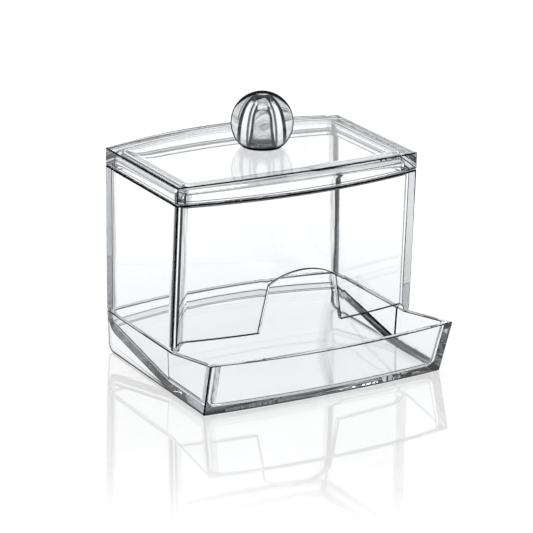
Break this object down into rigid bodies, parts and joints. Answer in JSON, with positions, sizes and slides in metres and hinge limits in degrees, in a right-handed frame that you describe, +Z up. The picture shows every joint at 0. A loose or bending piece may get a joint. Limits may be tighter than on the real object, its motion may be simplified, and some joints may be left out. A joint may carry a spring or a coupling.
{
  "type": "cotton swab holder",
  "caption": "Clear box with a crowned lift-off lid and ball knob, a sloping floor and a bowed front tray that swabs roll into under an arched finger notch.",
  "frame": {"origin": "middle of the holder's outline, on the surface that it stands on", "axes": "+Z up, -Y towards the front tray, X across the holder"},
  "size_m": [0.0964, 0.0886, 0.0958],
  "materials": {
    "base_clear": "clear colourless moulded plastic, polished",
    "box_clear": "clear colourless moulded plastic, polished",
    "lid_clear": "clear colourless moulded plastic, polished",
    "knob_clear": "clear colourless moulded plastic, polished"
  },
  "bodies": {
    "holder": {"base_tray": "base_clear", "swab_box": "box_clear"},
    "lid_unit": {"lid": "lid_clear", "knob_ball": "knob_clear"}
  },
  "joints": [
    {"name": "lid_lift", "type": "slide", "parent": "holder", "child": "lid_unit", "axis": [0, 0, 1], "range_m": [0, 0.05]}
  ]
}
